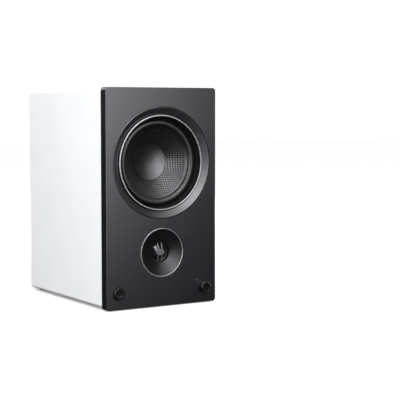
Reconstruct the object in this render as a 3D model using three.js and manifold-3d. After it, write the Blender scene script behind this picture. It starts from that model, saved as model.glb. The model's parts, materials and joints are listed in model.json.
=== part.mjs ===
// A powered two-way bookshelf speaker, in millimetres.
// +X is the listener's right, +Y runs from the front to the back, +Z is up.
// The origin is on the floor, under the middle of the whole object.
// Inside the pieces, "depth" is measured backwards from the front face of the baffle.

import * as THREE from 'three';
import { mergeVertices } from 'three/addons/utils/BufferGeometryUtils.js';
import Module from 'manifold-3d';

const wasm = await Module();
wasm.setup();

// ---------------------------------------------------------------- driving dimensions

const gap = 0.3;                 // glue line or clearance between neighbouring pieces

const baffleWidth = 176;
const baffleHeight = 304;
const baffleThickness = 15;
const baffleCorner = 4.5;
const plugThickness = 6;         // part of the baffle that reaches into the cabinet
const floorGap = 1;              // baffle's lower edge above the floor
const speakerDepth = 250;        // baffle face to rear panel
const cabinetInset = 2;          // cabinet's outline inside the baffle's outline
const cabinetCorner = 4;
const panelThickness = 12;
const footRadius = 8;

const wooferHeight = floorGap + 200;
const tweeterHeight = floorGap + 75;
const controlHeight = floorGap + 22.4;
const knobOffset = 67.4;         // knob to the right of the middle
const buttonOffset = 69.2;       // button to the left of the middle
const portHeight = 250;

const knobReach = 8.5;           // knob in front of the baffle
const buttonReach = 3;
const terminalReach = 20;        // speaker terminals behind the rear panel

const plateWidth = 116;
const plateHeight = 150;
const plateThickness = 2;
const plateMiddle = 105;         // height of the amplifier plate's middle

// ---------------------------------------------------------------- derived places

const faceY = -(speakerDepth + terminalReach - knobReach) / 2;
const baffleMiddle = floorGap + baffleHeight / 2;
const cabinetWidth = baffleWidth - 2 * cabinetInset;
const cabinetBottom = floorGap + cabinetInset;
const cabinetTop = floorGap + baffleHeight - cabinetInset;
const cabinetFront = baffleThickness + gap;
const innerWidth = cabinetWidth - 2 * panelThickness;
const innerBottom = cabinetBottom + panelThickness;
const innerTop = cabinetTop - panelThickness;
const fittedWidth = innerWidth - 2 * gap;    // pieces glued between the side panels
const rearPanelFront = speakerDepth - panelThickness;
const plateFront = speakerDepth + gap;
const plateBack = plateFront + plateThickness;
const fittingFront = plateBack + gap;        // where fittings rest on the plate

// ---------------------------------------------------------------- materials

function finish(color, roughness, metalness = 0) {
  return new THREE.MeshStandardMaterial({ color, roughness, metalness });
}

const whiteWrap = finish(0xf2f3f4, 0.5);
const charcoal = finish(0x2b2b2d, 0.45);
const satinBlack = finish(0x1d1d1f, 0.4);
const silver = finish(0xc9cacc, 0.25, 1);
const castBlack = finish(0x18181a, 0.55, 0.4);
const rubber = finish(0x161617, 0.7);
const wovenFibre = finish(0x242426, 0.6);
const capSatin = finish(0x3a3b3e, 0.4);
const copper = finish(0xb06a3a, 0.35, 1);
const spiderCloth = finish(0xc9b27a, 0.9);
const steel = finish(0xa9abae, 0.35, 1);
const ferrite = finish(0x333336, 0.8);
const silkDome = finish(0x101012, 0.3);
const lightPipe = finish(0xd8dadc, 0.3);
const circuitGreen = finish(0x1f5a34, 0.5);
const blackPlastic = finish(0x141415, 0.45);
const plateBlack = finish(0x1b1b1c, 0.5, 0.6);
const tinned = finish(0xd0d0cc, 0.3, 1);
const gilt = finish(0xcaa75a, 0.3, 1);
const redPlastic = finish(0xa81c1c, 0.35);
const polyester = finish(0xe9e9e6, 1);

// ---------------------------------------------------------------- shape helpers

// Turns a profile of [radius, depth] points about the front-to-back axis. A profile
// starts and ends on the axis, or else it is closed into a ring here.
function turned(profile, segments) {
  const points = profile.map(([radius, depth]) => new THREE.Vector2(radius, depth));
  const onAxis = profile[0][0] === 0 && profile.at(-1)[0] === 0;
  if (!onAxis) {
    points.push(points[0].clone());
  }
  if (THREE.ShapeUtils.area(points) < 0) {
    points.reverse();
  }
  return new THREE.LatheGeometry(points, segments);
}

function rectangle(width, height, corner) {
  const x = width / 2;
  const y = height / 2;
  const shape = new THREE.Shape();
  shape.absarc(x - corner, -y + corner, corner, -Math.PI / 2, 0);
  shape.absarc(x - corner, y - corner, corner, 0, Math.PI / 2);
  shape.absarc(-x + corner, y - corner, corner, Math.PI / 2, Math.PI);
  shape.absarc(-x + corner, -y + corner, corner, Math.PI, 1.5 * Math.PI);
  return shape.closePath();
}

// Pushes an outline, drawn as seen from the front, backwards between two depths.
function slab(shape, front, back, curveSegments = 4) {
  const options = { depth: back - front, bevelEnabled: false, curveSegments };
  const geometry = new THREE.ExtrudeGeometry(shape, options);
  geometry.rotateX(Math.PI / 2);
  geometry.translate(0, back, 0);
  return geometry;
}

// Pushes an outline of [depth, height] points sideways, centred on x = 0.
function sideways(points, width) {
  const shape = new THREE.Shape(points.map(([depth, height]) => new THREE.Vector2(depth, height)));
  const geometry = new THREE.ExtrudeGeometry(shape, { depth: width, bevelEnabled: false });
  geometry.translate(0, 0, -width / 2);
  const toDepth = new THREE.Vector3(0, 1, 0);
  const toHeight = new THREE.Vector3(0, 0, 1);
  const toWidth = new THREE.Vector3(1, 0, 0);
  return geometry.applyMatrix4(new THREE.Matrix4().makeBasis(toDepth, toHeight, toWidth));
}

function block(width, height, front, back, x = 0, z = 0) {
  const geometry = new THREE.BoxGeometry(width, back - front, height);
  return geometry.translate(x, (front + back) / 2, z);
}

function rod(radius, front, back, x = 0, z = 0, segments = 16) {
  const profile = [[0, front], [radius, front], [radius, back], [0, back]];
  return turned(profile, segments).translate(x, 0, z);
}

function lead(points, radius) {
  const path = new THREE.CatmullRomCurve3(points.map((point) => new THREE.Vector3(...point)));
  const section = new THREE.Shape().absarc(0, 0, radius, 0, 2 * Math.PI);
  return new THREE.ExtrudeGeometry(section, { steps: 14, curveSegments: 4, extrudePath: path });
}

function toSolid(geometry) {
  const bare = geometry.clone();
  bare.deleteAttribute('normal');
  bare.deleteAttribute('uv');
  const merged = mergeVertices(bare, 1e-3);
  const corners = merged.index.array;
  const kept = [];
  for (let i = 0; i < corners.length; i += 3) {
    const [a, b, c] = corners.slice(i, i + 3);
    if (a !== b && b !== c && c !== a) {
      kept.push(a, b, c);
    }
  }
  const vertProperties = new Float32Array(merged.attributes.position.array);
  const mesh = new wasm.Mesh({ numProp: 3, vertProperties, triVerts: new Uint32Array(kept) });
  return new wasm.Manifold(mesh);
}

function toGeometry(body) {
  const mesh = body.getMesh();
  const geometry = new THREE.BufferGeometry();
  geometry.setAttribute('position', new THREE.BufferAttribute(mesh.vertProperties, 3));
  geometry.setIndex(new THREE.BufferAttribute(mesh.triVerts, 1));
  geometry.computeVertexNormals();
  return geometry;
}

function cut(base, ...tools) {
  const result = tools.reduce((body, tool) => body.subtract(toSolid(tool)), toSolid(base));
  return toGeometry(result);
}

function join(base, ...others) {
  const result = others.reduce((body, other) => body.add(toSolid(other)), toSolid(base));
  return toGeometry(result);
}

// ---------------------------------------------------------------- the assembly

const speaker = new THREE.Group();
speaker.position.set(0, faceY, 0);

function piece(name, geometry, material, group = speaker) {
  const mesh = new THREE.Mesh(geometry, material);
  mesh.name = name;
  group.add(mesh);
  return mesh;
}

function unit(x, z) {
  const group = new THREE.Group();
  group.position.set(x, 0, z);
  speaker.add(group);
  return group;
}

// ---------------------------------------------------------------- woofer sizes

const wooferSegments = 32;
const trimRadius = 77.6;
const trimInner = 67.6;
const trimBack = 6;
const ringInner = 63.7;
const ringOuter = 66.4;
const ringFront = 1.7;
const flangeRadius = 72.2;
const flangeFront = 9;
const flangeBack = 11.5;
const shelfDepth = 16;           // where the surround's outer lip is glued
const throughRadius = 66.6;      // hole right through the baffle

// ---------------------------------------------------------------- tweeter sizes

const tweeterSegments = 28;
const guideRadius = 32.2;
const guideBack = 11.6;
const throatRadius = 14.6;
const throatDepth = 6.3;
const tweeterRingOuter = 34.8;
const motorHole = 24.6;

// ---------------------------------------------------------------- cabinet

// A side panel has its two outer long edges rounded.
function sidePanelShape() {
  const t = panelThickness;
  const r = cabinetCorner;
  const low = cabinetBottom;
  const high = cabinetTop;
  const shape = new THREE.Shape();
  shape.moveTo(t, low);
  shape.lineTo(t, high);
  shape.absarc(r, high - r, r, Math.PI / 2, Math.PI);
  shape.absarc(r, low + r, r, Math.PI, 1.5 * Math.PI);
  return shape.closePath();
}

function cabinet() {
  const left = slab(sidePanelShape(), cabinetFront, speakerDepth);
  left.translate(-cabinetWidth / 2, 0, 0);
  const right = slab(sidePanelShape(), cabinetFront, speakerDepth);
  right.rotateY(Math.PI);
  right.translate(cabinetWidth / 2, 0, cabinetBottom + cabinetTop);
  piece('left_panel', left, whiteWrap);
  piece('right_panel', right, whiteWrap);

  const topMiddle = cabinetTop - panelThickness / 2;
  const bottomMiddle = cabinetBottom + panelThickness / 2;
  const shelf = (z) => block(fittedWidth, panelThickness, cabinetFront, speakerDepth, 0, z);
  piece('top_panel', shelf(topMiddle), whiteWrap);
  piece('bottom_panel', shelf(bottomMiddle), whiteWrap);
}

function rearPanel() {
  const height = innerTop - innerBottom - 2 * gap;
  const middle = (innerTop + innerBottom) / 2;
  const board = block(fittedWidth, height, rearPanelFront, speakerDepth, 0, middle);
  const front = rearPanelFront - 1;
  const back = speakerDepth + 1;
  const plateOpening = block(96, 130, front, back, 0, plateMiddle);
  const portOpening = rod(portOuter + gap, front, back, 0, portHeight, portSegments);
  const pilotHoles = plateCorners().map(([x, z]) => rod(1.8, front, back, x, z, 8));
  piece('rear_panel', cut(board, plateOpening, portOpening, ...pilotHoles), whiteWrap);
}

function plateCorners() {
  const x = plateWidth / 2 - 6;
  const z = plateHeight / 2 - 6;
  return [[-x, z], [x, z], [-x, -z], [x, -z]].map(([dx, dz]) => [dx, plateMiddle + dz]);
}

function feet() {
  const places = {
    foot_front_left: [-70, 28],
    foot_front_right: [70, 28],
    foot_rear_left: [-70, 235],
    foot_rear_right: [70, 235],
  };
  for (const [name, [x, depth]] of Object.entries(places)) {
    const foot = new THREE.CylinderGeometry(footRadius, footRadius - 0.6, cabinetBottom - gap, 20);
    foot.rotateX(Math.PI / 2);
    foot.translate(x, depth, (cabinetBottom - gap) / 2);
    piece(name, foot, rubber);
  }
}

// ---------------------------------------------------------------- baffle

function baffle() {
  const front = slab(rectangle(baffleWidth, baffleHeight, baffleCorner), 0, baffleThickness);
  front.translate(0, 0, baffleMiddle);
  const plugBottom = 42;
  const plugTop = innerTop - gap;
  const plug = block(fittedWidth, plugTop - plugBottom, baffleThickness - 1,
    baffleThickness + plugThickness, 0, (plugTop + plugBottom) / 2);
  const beyond = baffleThickness + plugThickness + 1;
  const wooferHole = turned([
    [0, -1],
    [trimRadius + gap, -1],
    [trimRadius + gap, trimBack + gap],
    [flangeRadius + gap, trimBack + gap],
    [flangeRadius + gap, flangeBack + gap],
    [throughRadius, flangeBack + gap],
    [throughRadius, beyond],
    [0, beyond],
  ], wooferSegments).translate(0, 0, wooferHeight);
  const tweeterHole = turned([
    [0, -1],
    [tweeterRingOuter + gap, -1],
    [tweeterRingOuter + gap, guideBack + gap],
    [motorHole, guideBack + gap],
    [motorHole, beyond],
    [0, beyond],
  ], tweeterSegments).translate(0, 0, tweeterHeight);
  const knobHole = rod(bushingRadius + gap, -1, beyond, knobOffset, controlHeight);
  const buttonHole = rod(buttonRadius + gap, -1, beyond, -buttonOffset, controlHeight, 24);
  const lightHole = rod(lightRadius + gap, -1, beyond, ...lightPlace, 10);
  const whole = join(front, plug);
  piece('front_baffle', cut(whole, wooferHole, tweeterHole, knobHole, buttonHole, lightHole), charcoal);
}

// ---------------------------------------------------------------- woofer

// Front surface of the cone: it steepens towards the middle.
function coneDepth(radius) {
  const inward = coneRim - radius;
  return coneRimDepth + 0.72 * inward + 0.0041 * inward * inward;
}

const coneRim = 50.4;
const coneRimDepth = 16.6;
const coneNeck = 13.4;
const coneThickness = 1.1;
const surroundLip = 47.2;        // the surround's lip covers the cone's edge down to this radius
const capRadius = 26;
const capRimDepth = 35.4;
const capDish = 4.2;             // how far the cap's middle lies behind its rim
const capThickness = 0.8;

function steps(from, to, count) {
  return Array.from({ length: count + 1 }, (_, i) => from + (to - from) * i / count);
}

function woofer() {
  const group = unit(0, wooferHeight);
  const add = (name, geometry, material) => piece(name, geometry, material, group);
  const n = wooferSegments;

  add('woofer_trim_ring', turned([
    [trimRadius, trimBack],
    [trimRadius, 0.9],
    [trimRadius - 0.8, 0.1],
    [trimInner, 4],
    [trimInner, trimBack],
  ], n), satinBlack);

  add('woofer_silver_ring', turned([
    [ringInner, 3.3],
    [ringInner, ringFront],
    [ringOuter, ringFront],
    [ringOuter, 3.3],
  ], n), silver);

  add('woofer_gasket', turned([
    [ringInner, 3.3 + gap],
    [ringOuter, 3.3 + gap],
    [ringOuter, flangeFront - gap],
    [ringInner, flangeFront - gap],
  ], n), rubber);

  add('woofer_basket', basket(), castBlack);
  add('woofer_surround', surround(), rubber);

  const conePoints = steps(coneRim, coneNeck, 3);
  const coneFront = conePoints.map((radius) => [radius, coneDepth(radius)]);
  const coneBack = conePoints.map((radius) => [radius, coneDepth(radius) + coneThickness]);
  add('woofer_cone', turned([...coneFront, ...coneBack.reverse()], n), wovenFibre);

  const dish = (radius) => capRimDepth + capDish * (1 - (radius / capRadius) ** 2);
  const capPoints = steps(capRadius, 0, 3);
  const capFront = capPoints.map((radius) => [radius, dish(radius)]);
  const capBack = capPoints.map((radius) => [radius, dish(radius) + capThickness]);
  add('woofer_dust_cap', turned([...capFront.reverse(), ...capBack], n), capSatin);

  add('woofer_voice_coil', turned([
    [12.6, 46.5],
    [13.1, 46.5],
    [13.1, 61],
    [13.8, 61],
    [13.8, 73],
    [12.6, 73],
  ], 20), copper);

  const spiderPoints = steps(13.5, 47.2, 8);
  const spiderFront = spiderPoints.map((radius, index) => [radius, index % 2 ? 53.2 : 50.8]);
  const spiderBack = spiderFront.map(([radius, depth]) => [radius, depth + 0.7]);
  add('woofer_spider', turned([...spiderFront, ...spiderBack.reverse()], 20), spiderCloth);

  add('woofer_top_plate', turned([[14.4, 61.5], [40, 61.5], [40, 67.5], [14.4, 67.5]], 24), steel);
  add('woofer_magnet', turned([[22, 67.8], [42, 67.8], [42, 82.8], [22, 82.8]], 24), ferrite);
  add('woofer_pole_piece', turned([
    [0, 61],
    [12.1, 61],
    [12.1, 83.1],
    [40, 83.1],
    [40, 89],
    [0, 89],
  ], 24), steel);
}

// Cast basket: mounting flange, shelf for the surround and six windowed arms.
function basket() {
  const cup = turned([
    [ringInner, flangeFront],
    [flangeRadius, flangeFront],
    [flangeRadius, flangeBack],
    [66.2, flangeBack],
    [66.2, 18.5],
    [47.5, 61.2],
    [20, 61.2],
    [20, 58.8],
    [45.6, 58.8],
    [63.4, 18],
    [60, 17.6],
    [60, shelfDepth],
    [ringInner, shelfDepth],
  ], wooferSegments);
  const windows = steps(0, 5, 5).map((index) => {
    const middle = index * Math.PI / 3;
    const half = 22 * Math.PI / 180;
    const sector = new THREE.Shape();
    sector.absarc(0, 0, 80, middle - half, middle + half);
    sector.absarc(0, 0, 30, middle + half, middle - half, true);
    return slab(sector.closePath(), 22, 48, 2);
  });
  return cut(cup, ...windows);
}

// Half-roll surround: a rounded bulge between a flat outer lip and a lip on the cone.
function surround() {
  const rollMiddle = 55.4;
  const rollOuter = 4.6;
  const rollInner = 3.8;
  const lipDepth = shelfDepth - gap - 0.7;
  const arc = (radius) => steps(0, Math.PI, 5).map((angle) => [
    rollMiddle + radius * Math.cos(angle),
    lipDepth - radius * Math.sin(angle),
  ]);
  return turned([
    [63.4, lipDepth],
    ...arc(rollOuter),
    [surroundLip, coneDepth(surroundLip) - gap - 0.8],
    [surroundLip, coneDepth(surroundLip) - gap],
    [50.6, lipDepth + 1.1],
    ...arc(rollInner).reverse(),
    [60, lipDepth + 0.7],
    [63.4, lipDepth + 0.7],
  ], wooferSegments);
}

// ---------------------------------------------------------------- tweeter

const domeRadius = 11.6;
const domeBase = 12.1;
const domeHeight = 4.2;
const bridgeFront = 5.2;         // the diffuser is a bridge of two arched bars and an oval disc
const bridgeReach = 13.7;
const bridgeArch = 3.4;          // how far the bars' ends lie behind their middle

function domeArc(radius, base, height, count) {
  const curvature = (radius * radius + height * height) / (2 * height);
  const centre = base - height + curvature;
  return steps(0, radius, count).map((r) => [r, centre - Math.sqrt(curvature * curvature - r * r)]);
}

function bridgeBar(x) {
  const front = (height) => bridgeFront + 0.2 + bridgeArch * (height / bridgeReach) ** 2;
  const heights = steps(-bridgeReach, bridgeReach, 6);
  const frontEdge = heights.map((height) => [front(height), height]);
  const backEdge = heights.map((height) => [front(height) + 1.4, height]).reverse();
  return sideways([...frontEdge, ...backEdge], 1.5).translate(x, 0, 0);
}

function tweeter() {
  const group = unit(0, tweeterHeight);
  const add = (name, geometry, material) => piece(name, geometry, material, group);
  const n = tweeterSegments;

  const guideFront = steps(guideRadius, 15, 3).map((radius) => {
    const inward = (guideRadius - radius) / (guideRadius - 15);
    return [radius, 0.9 + (throatDepth - 0.9) * inward ** 0.9];
  });
  add('tweeter_waveguide', turned([
    ...guideFront,
    [throatRadius, throatDepth + 0.4],
    [throatRadius, guideBack],
    [guideRadius, guideBack],
  ], n), satinBlack);

  add('tweeter_silver_ring', turned([
    [guideRadius + gap, 0.5],
    [tweeterRingOuter, 0.5],
    [tweeterRingOuter, 3],
    [guideRadius + gap, 3],
  ], n), silver);

  const oval = new THREE.Shape().absellipse(0, 0, 6.8, 4.3, 0, 2 * Math.PI);
  const disc = slab(oval, bridgeFront, bridgeFront + 1.7, 24);
  add('tweeter_diffuser', join(disc, bridgeBar(-3.05), bridgeBar(3.05)), blackPlastic);

  const skin = domeArc(domeRadius, domeBase, domeHeight, 3);
  const lining = domeArc(domeRadius - 0.7, domeBase, domeHeight - 0.6, 3);
  add('tweeter_dome', turned([
    ...skin,
    [domeRadius, domeBase + 0.3],
    [11.3, domeBase + 0.3],
    [11.3, 17.2],
    [10.9, 17.2],
    ...lining.reverse(),
  ], 24), silkDome);

  add('tweeter_surround', turned([
    [11.9, 11.9],
    [12.4, 10.9],
    [13.1, 10.6],
    [13.8, 10.9],
    [14.3, 11.9],
    [18, 11.9],
    [18, 12.4],
    [13.9, 12.4],
    [13.1, 11.3],
    [12.3, 12.4],
    [11.9, 12.4],
  ], 24), rubber);

  add('tweeter_top_plate', turned([[11.9, 12.7], [22.5, 12.7], [22.5, 15.7], [11.9, 15.7]], 24), steel);
  add('tweeter_magnet', turned([[14, 16], [22, 16], [22, 23], [14, 23]], 24), ferrite);
  add('tweeter_pole_piece', turned([
    [0, 13.2],
    [10.3, 13.2],
    [10.3, 23.3],
    [22, 23.3],
    [22, 26.2],
    [0, 26.2],
  ], 24), steel);
}

// ---------------------------------------------------------------- front controls

const buttonRadius = 8.5;
const knobRadius = 7.5;
const shaftRadius = 3;
const bushingRadius = 4.2;
const lightRadius = 1;
const lightPlace = [56.4, floorGap + 32.7];
const boardFront = 25;

function volumeControl() {
  const group = unit(knobOffset, controlHeight);
  piece('volume_knob', turned([
    [0, -knobReach],
    [knobRadius - 0.7, -knobReach],
    [knobRadius, 0.7 - knobReach],
    [knobRadius, -0.8],
    [shaftRadius + gap, -0.8],
    [shaftRadius + gap, 1.6 - knobReach],
    [0, 1.6 - knobReach],
  ], 24), satinBlack, group);
  piece('volume_shaft', rod(shaftRadius, 1.9 - knobReach, 19.5), steel, group);

  const bore = rod(shaftRadius + 0.1, 0, 20);
  const body = join(block(12, 11, 18.5, boardFront - gap), rod(bushingRadius, 3, 19));
  piece('volume_encoder', cut(body, bore), tinned, group);
}

function sourceButton() {
  const group = unit(-buttonOffset, controlHeight);
  piece('source_button', turned([
    [0, 0.4 - buttonReach],
    [4.8, 0.4 - buttonReach],
    [5.2, -buttonReach],
    [buttonRadius - 0.6, -buttonReach],
    [buttonRadius, 0.6 - buttonReach],
    [buttonRadius, 12],
    [3, 12],
    [3, 20],
    [0, 20],
  ], 24), satinBlack, group);
}

function controlBoard() {
  const bottom = 16;
  const top = 37;
  const board = block(145, top - bottom, boardFront, boardFront + 1.6, 0, (bottom + top) / 2);
  const buttonSwitch = block(6, 6, 21.3, boardFront + 0.5, -buttonOffset, controlHeight);
  piece('control_board', join(board, buttonSwitch), circuitGreen);
  piece('status_light', rod(lightRadius, 0, boardFront - gap, ...lightPlace, 10), lightPipe);
}

// ---------------------------------------------------------------- amplifier and back

const portInner = 22;
const portOuter = 24.5;
const portFront = 150;
const portSegments = 24;

const socketPlaces = {
  line_socket_left: [36, 158],
  line_socket_right: [16, 158],
  subwoofer_socket: [-30, 158],
};
const postPlaces = { red: [12, 116], black: [-12, 116] };
const socketRear = 236;          // the board is soldered across the backs of the sockets
const inletPlace = [18, 58];
const switchPlace = [-26, 58];
const rockerTilt = 7 * Math.PI / 180;

function amplifierPlate() {
  const plate = slab(rectangle(plateWidth, plateHeight, 4), plateFront, plateBack);
  plate.translate(0, 0, plateMiddle);
  const drill = (radius, [x, z]) => rod(radius, plateFront - 1, plateBack + 1, x, z, 10);
  const window = (width, height, [x, z]) => block(width, height, plateFront - 1, plateBack + 1, x, z);
  const holes = [
    ...Object.values(socketPlaces).map((place) => drill(4.4, place)),
    ...Object.values(postPlaces).map((place) => drill(3.4, place)),
    ...plateCorners().map((place) => drill(1.9, place)),
    window(22.6, 14.6, inletPlace),
    window(13.6, 19.6, switchPlace),
  ];
  piece('amplifier_plate', cut(plate, ...holes), plateBlack);

  plateCorners().forEach(([x, z], index) => {
    const screw = turned([
      [0, 242],
      [1.4, 243],
      [1.4, fittingFront],
      [3.3, fittingFront],
      [3.3, fittingFront + 1.2],
      [2.2, fittingFront + 2],
      [0, fittingFront + 2],
    ], 12).translate(x, 0, z);
    piece(`amplifier_screw_${index + 1}`, screw, steel);
  });
}

function amplifierBoard() {
  const front = socketRear - gap - 1.6;
  piece('amplifier_board', block(90, 124, front, socketRear - gap, 0, plateMiddle), circuitGreen);

  const core = block(50, 20, front - 26, front - 6, 0, 84);
  const bobbin = block(34, 34, front - 32, front - gap, 0, 84);
  piece('transformer', join(core, bobbin), ferrite);
}

function sockets() {
  for (const [name, [x, z]] of Object.entries(socketPlaces)) {
    const socket = turned([
      [0, socketRear],
      [4, socketRear],
      [4, fittingFront],
      [5.6, fittingFront],
      [5.6, fittingFront + 1.4],
      [4.1, fittingFront + 1.4],
      [4.1, fittingFront + 8.4],
      [1.6, fittingFront + 8.4],
      [1.6, fittingFront],
      [0, fittingFront],
    ], 16).translate(x, 0, z);
    piece(name, socket, tinned);
  }
}

function speakerTerminals() {
  const end = speakerDepth + terminalReach;
  for (const [color, [x, z]] of Object.entries(postPlaces)) {
    const post = turned([
      [0, socketRear],
      [2.6, socketRear],
      [2.6, fittingFront],
      [7, fittingFront],
      [7, fittingFront + 3],
      [2.8, fittingFront + 3],
      [2.8, end],
      [2, end],
      [2, end - 11],
      [0, end - 11],
    ], 16).translate(x, 0, z);
    const cap = turned([
      [3.2, fittingFront + 3.4],
      [6.6, fittingFront + 3.4],
      [6.6, end - 0.8],
      [3.2, end - 0.8],
    ], 16).translate(x, 0, z);
    piece(`speaker_post_${color}`, post, gilt);
    piece(`speaker_cap_${color}`, cap, color === 'red' ? redPlastic : blackPlastic);
  }
}

function stadium(width, height) {
  const radius = height / 2;
  const shape = new THREE.Shape();
  shape.absarc(width / 2 - radius, 0, radius, -Math.PI / 2, Math.PI / 2);
  shape.absarc(radius - width / 2, 0, radius, Math.PI / 2, 1.5 * Math.PI);
  return shape.closePath();
}

function powerInlet() {
  const group = unit(...inletPlace);
  const flange = slab(rectangle(28, 20, 2), fittingFront, fittingFront + 2, 2);
  const body = block(22, 14, socketRear, fittingFront + 1);
  const recessFloor = fittingFront - 11;
  const recess = slab(stadium(15.6, 9), recessFloor, fittingFront + 3, 5);
  const pins = [-4.3, 4.3].map((x) => rod(1.2, recessFloor - 1, fittingFront - 1, x, 0, 8));
  const socket = cut(join(flange, body), recess);
  piece('power_inlet', join(socket, ...pins), blackPlastic, group);
}

function powerSwitch() {
  const group = unit(...switchPlace);
  const flange = slab(rectangle(15.4, 21.4, 1.5), fittingFront, fittingFront + 1.6, 2);
  const body = block(13, 19, fittingFront - 14, fittingFront + 1);
  const well = block(10.8, 16.9, fittingFront - 10, fittingFront + 3);
  piece('power_switch_housing', cut(join(flange, body), well), blackPlastic, group);

  const rocker = sideways([
    [1.6, 0],
    [2.6, 7.8],
    [-1.5, 7.8],
    [-5, 4],
    [-5, -4],
    [-1.5, -7.8],
    [2.6, -7.8],
  ], 10);
  const mesh = piece('power_rocker', rocker, blackPlastic, group);
  mesh.position.set(0, fittingFront, 0);
  mesh.rotation.x = -rockerTilt;
}

function reflexPort() {
  const flangeBackDepth = speakerDepth + gap;
  const flare = steps(0, Math.PI / 2, 3).map((angle) => [
    portInner + 7 - 7 * Math.cos(angle),
    flangeBackDepth - 4 + 7 * Math.sin(angle),
  ]);
  const tube = turned([
    [portInner, portFront],
    ...flare,
    [32, flangeBackDepth + 3],
    [33, flangeBackDepth + 2],
    [33, flangeBackDepth],
    [portOuter, flangeBackDepth],
    [portOuter, portFront],
  ], portSegments).translate(0, 0, portHeight);
  piece('reflex_port', tube, blackPlastic);
}

// Pads of polyester wadding line both sides and the top behind the woofer.
function wadding() {
  const thickness = 13;
  const front = 75;
  const back = 215;
  const sideX = (fittedWidth - thickness) / 2;
  const topZ = innerTop - 1 - thickness / 2;
  piece('wadding_left', block(thickness, 190, front, back, -sideX, 160), polyester);
  piece('wadding_right', block(thickness, 190, front, back, sideX, 160), polyester);
  piece('wadding_top', block(110, thickness, front, back, 0, topZ), polyester);
}

function leads() {
  piece('woofer_lead', lead([
    [38, 233, 120],
    [52, 190, 130],
    [54, 120, 148],
    [50, 75, 156],
    [46, 54, 158],
  ], 2), rubber);
  piece('tweeter_lead', lead([
    [-38, 233, 110],
    [-50, 180, 100],
    [-48, 90, 86],
    [-24, 44, 78],
    [-14, 29.5, 75],
  ], 2), rubber);
  piece('control_cable', lead([
    [0, 233, 52],
    [0, 190, 34],
    [0, 120, 24],
    [0, 50, 24],
    [0, 30, 26],
  ], 2), rubber);
}

cabinet();
rearPanel();
feet();
baffle();
woofer();
tweeter();
volumeControl();
sourceButton();
controlBoard();
amplifierPlate();
amplifierBoard();
sockets();
speakerTerminals();
powerInlet();
powerSwitch();
reflexPort();
wadding();
leads();

export default speaker;
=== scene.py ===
"""The looks of a powered two-way bookshelf speaker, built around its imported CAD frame.

Lengths in this script are millimetres in the same frame as the CAD, and are turned into metres where a
mesh is made. Inside the speaker, "depth" is measured backwards from the front face of the baffle.
"""

import json
import math

import bmesh
import bpy
import numpy as np
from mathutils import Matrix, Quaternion, Vector

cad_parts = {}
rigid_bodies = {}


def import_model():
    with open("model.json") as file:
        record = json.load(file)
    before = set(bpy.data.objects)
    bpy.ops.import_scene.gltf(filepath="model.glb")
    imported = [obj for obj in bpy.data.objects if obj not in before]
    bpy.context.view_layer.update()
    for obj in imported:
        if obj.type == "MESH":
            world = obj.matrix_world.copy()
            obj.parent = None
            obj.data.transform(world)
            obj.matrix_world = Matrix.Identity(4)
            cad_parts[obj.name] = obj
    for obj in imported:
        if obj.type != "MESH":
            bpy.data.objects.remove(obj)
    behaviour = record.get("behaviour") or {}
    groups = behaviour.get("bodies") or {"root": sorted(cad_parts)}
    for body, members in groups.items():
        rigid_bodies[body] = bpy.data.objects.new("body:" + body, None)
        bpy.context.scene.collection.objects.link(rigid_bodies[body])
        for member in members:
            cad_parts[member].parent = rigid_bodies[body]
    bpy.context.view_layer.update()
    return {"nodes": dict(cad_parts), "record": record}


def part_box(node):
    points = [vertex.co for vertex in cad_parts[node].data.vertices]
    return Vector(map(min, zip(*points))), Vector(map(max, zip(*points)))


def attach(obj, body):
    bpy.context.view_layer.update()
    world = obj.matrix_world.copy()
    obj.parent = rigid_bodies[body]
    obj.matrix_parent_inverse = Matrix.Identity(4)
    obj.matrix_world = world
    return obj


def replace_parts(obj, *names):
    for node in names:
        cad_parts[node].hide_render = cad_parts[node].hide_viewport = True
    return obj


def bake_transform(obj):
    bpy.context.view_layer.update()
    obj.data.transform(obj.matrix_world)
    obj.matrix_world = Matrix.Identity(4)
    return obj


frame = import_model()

MM = 0.001

# ---------------------------------------------------------------- places taken from the frame


def box_mm(node):
    low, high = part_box(node)
    return np.array(low) / MM, np.array(high) / MM


def middle(node):
    """The (x, z) of a node's middle, in mm."""
    low, high = box_mm(node)
    x, _, z = (low + high) / 2
    return x, z


FACE_Y = box_mm("front_baffle")[0][1]
WOOFER = middle("woofer_trim_ring")
TWEETER = middle("tweeter_silver_ring")
KNOB = middle("volume_knob")
BUTTON = middle("source_button")
LIGHT = middle("status_light")
PORT = middle("reflex_port")
PLATE = middle("amplifier_plate")


def depths(node):
    """The front and back depth of a node."""
    low, high = box_mm(node)
    return low[1] - FACE_Y, high[1] - FACE_Y


BAFFLE_LOW, BAFFLE_HIGH = box_mm("front_baffle")
BAFFLE_WIDTH = BAFFLE_HIGH[0] - BAFFLE_LOW[0]
BAFFLE_HEIGHT = BAFFLE_HIGH[2] - BAFFLE_LOW[2]
BAFFLE_MIDDLE = (0, (BAFFLE_LOW[2] + BAFFLE_HIGH[2]) / 2)
CABINET_LOW = box_mm("left_panel")[0]
CABINET_HIGH = box_mm("right_panel")[1]
PLATE_FRONT, PLATE_BACK = depths("amplifier_plate")
FITTING_FRONT = PLATE_BACK + 0.3     # where the fittings rest on the plate
FITTING_INNER_END = 236              # the depth that they reach forward to, inside the cabinet
DRILLED = (PLATE_FRONT - 2, PLATE_BACK + 2)

record = frame["record"]
SLOT_OF = {row["node"]: row["material_slot"] for row in record["subparts"]}
BODY_OF = {node: body for body, nodes in record["behaviour"]["bodies"].items() for node in nodes}

# ---------------------------------------------------------------- materials


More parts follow.
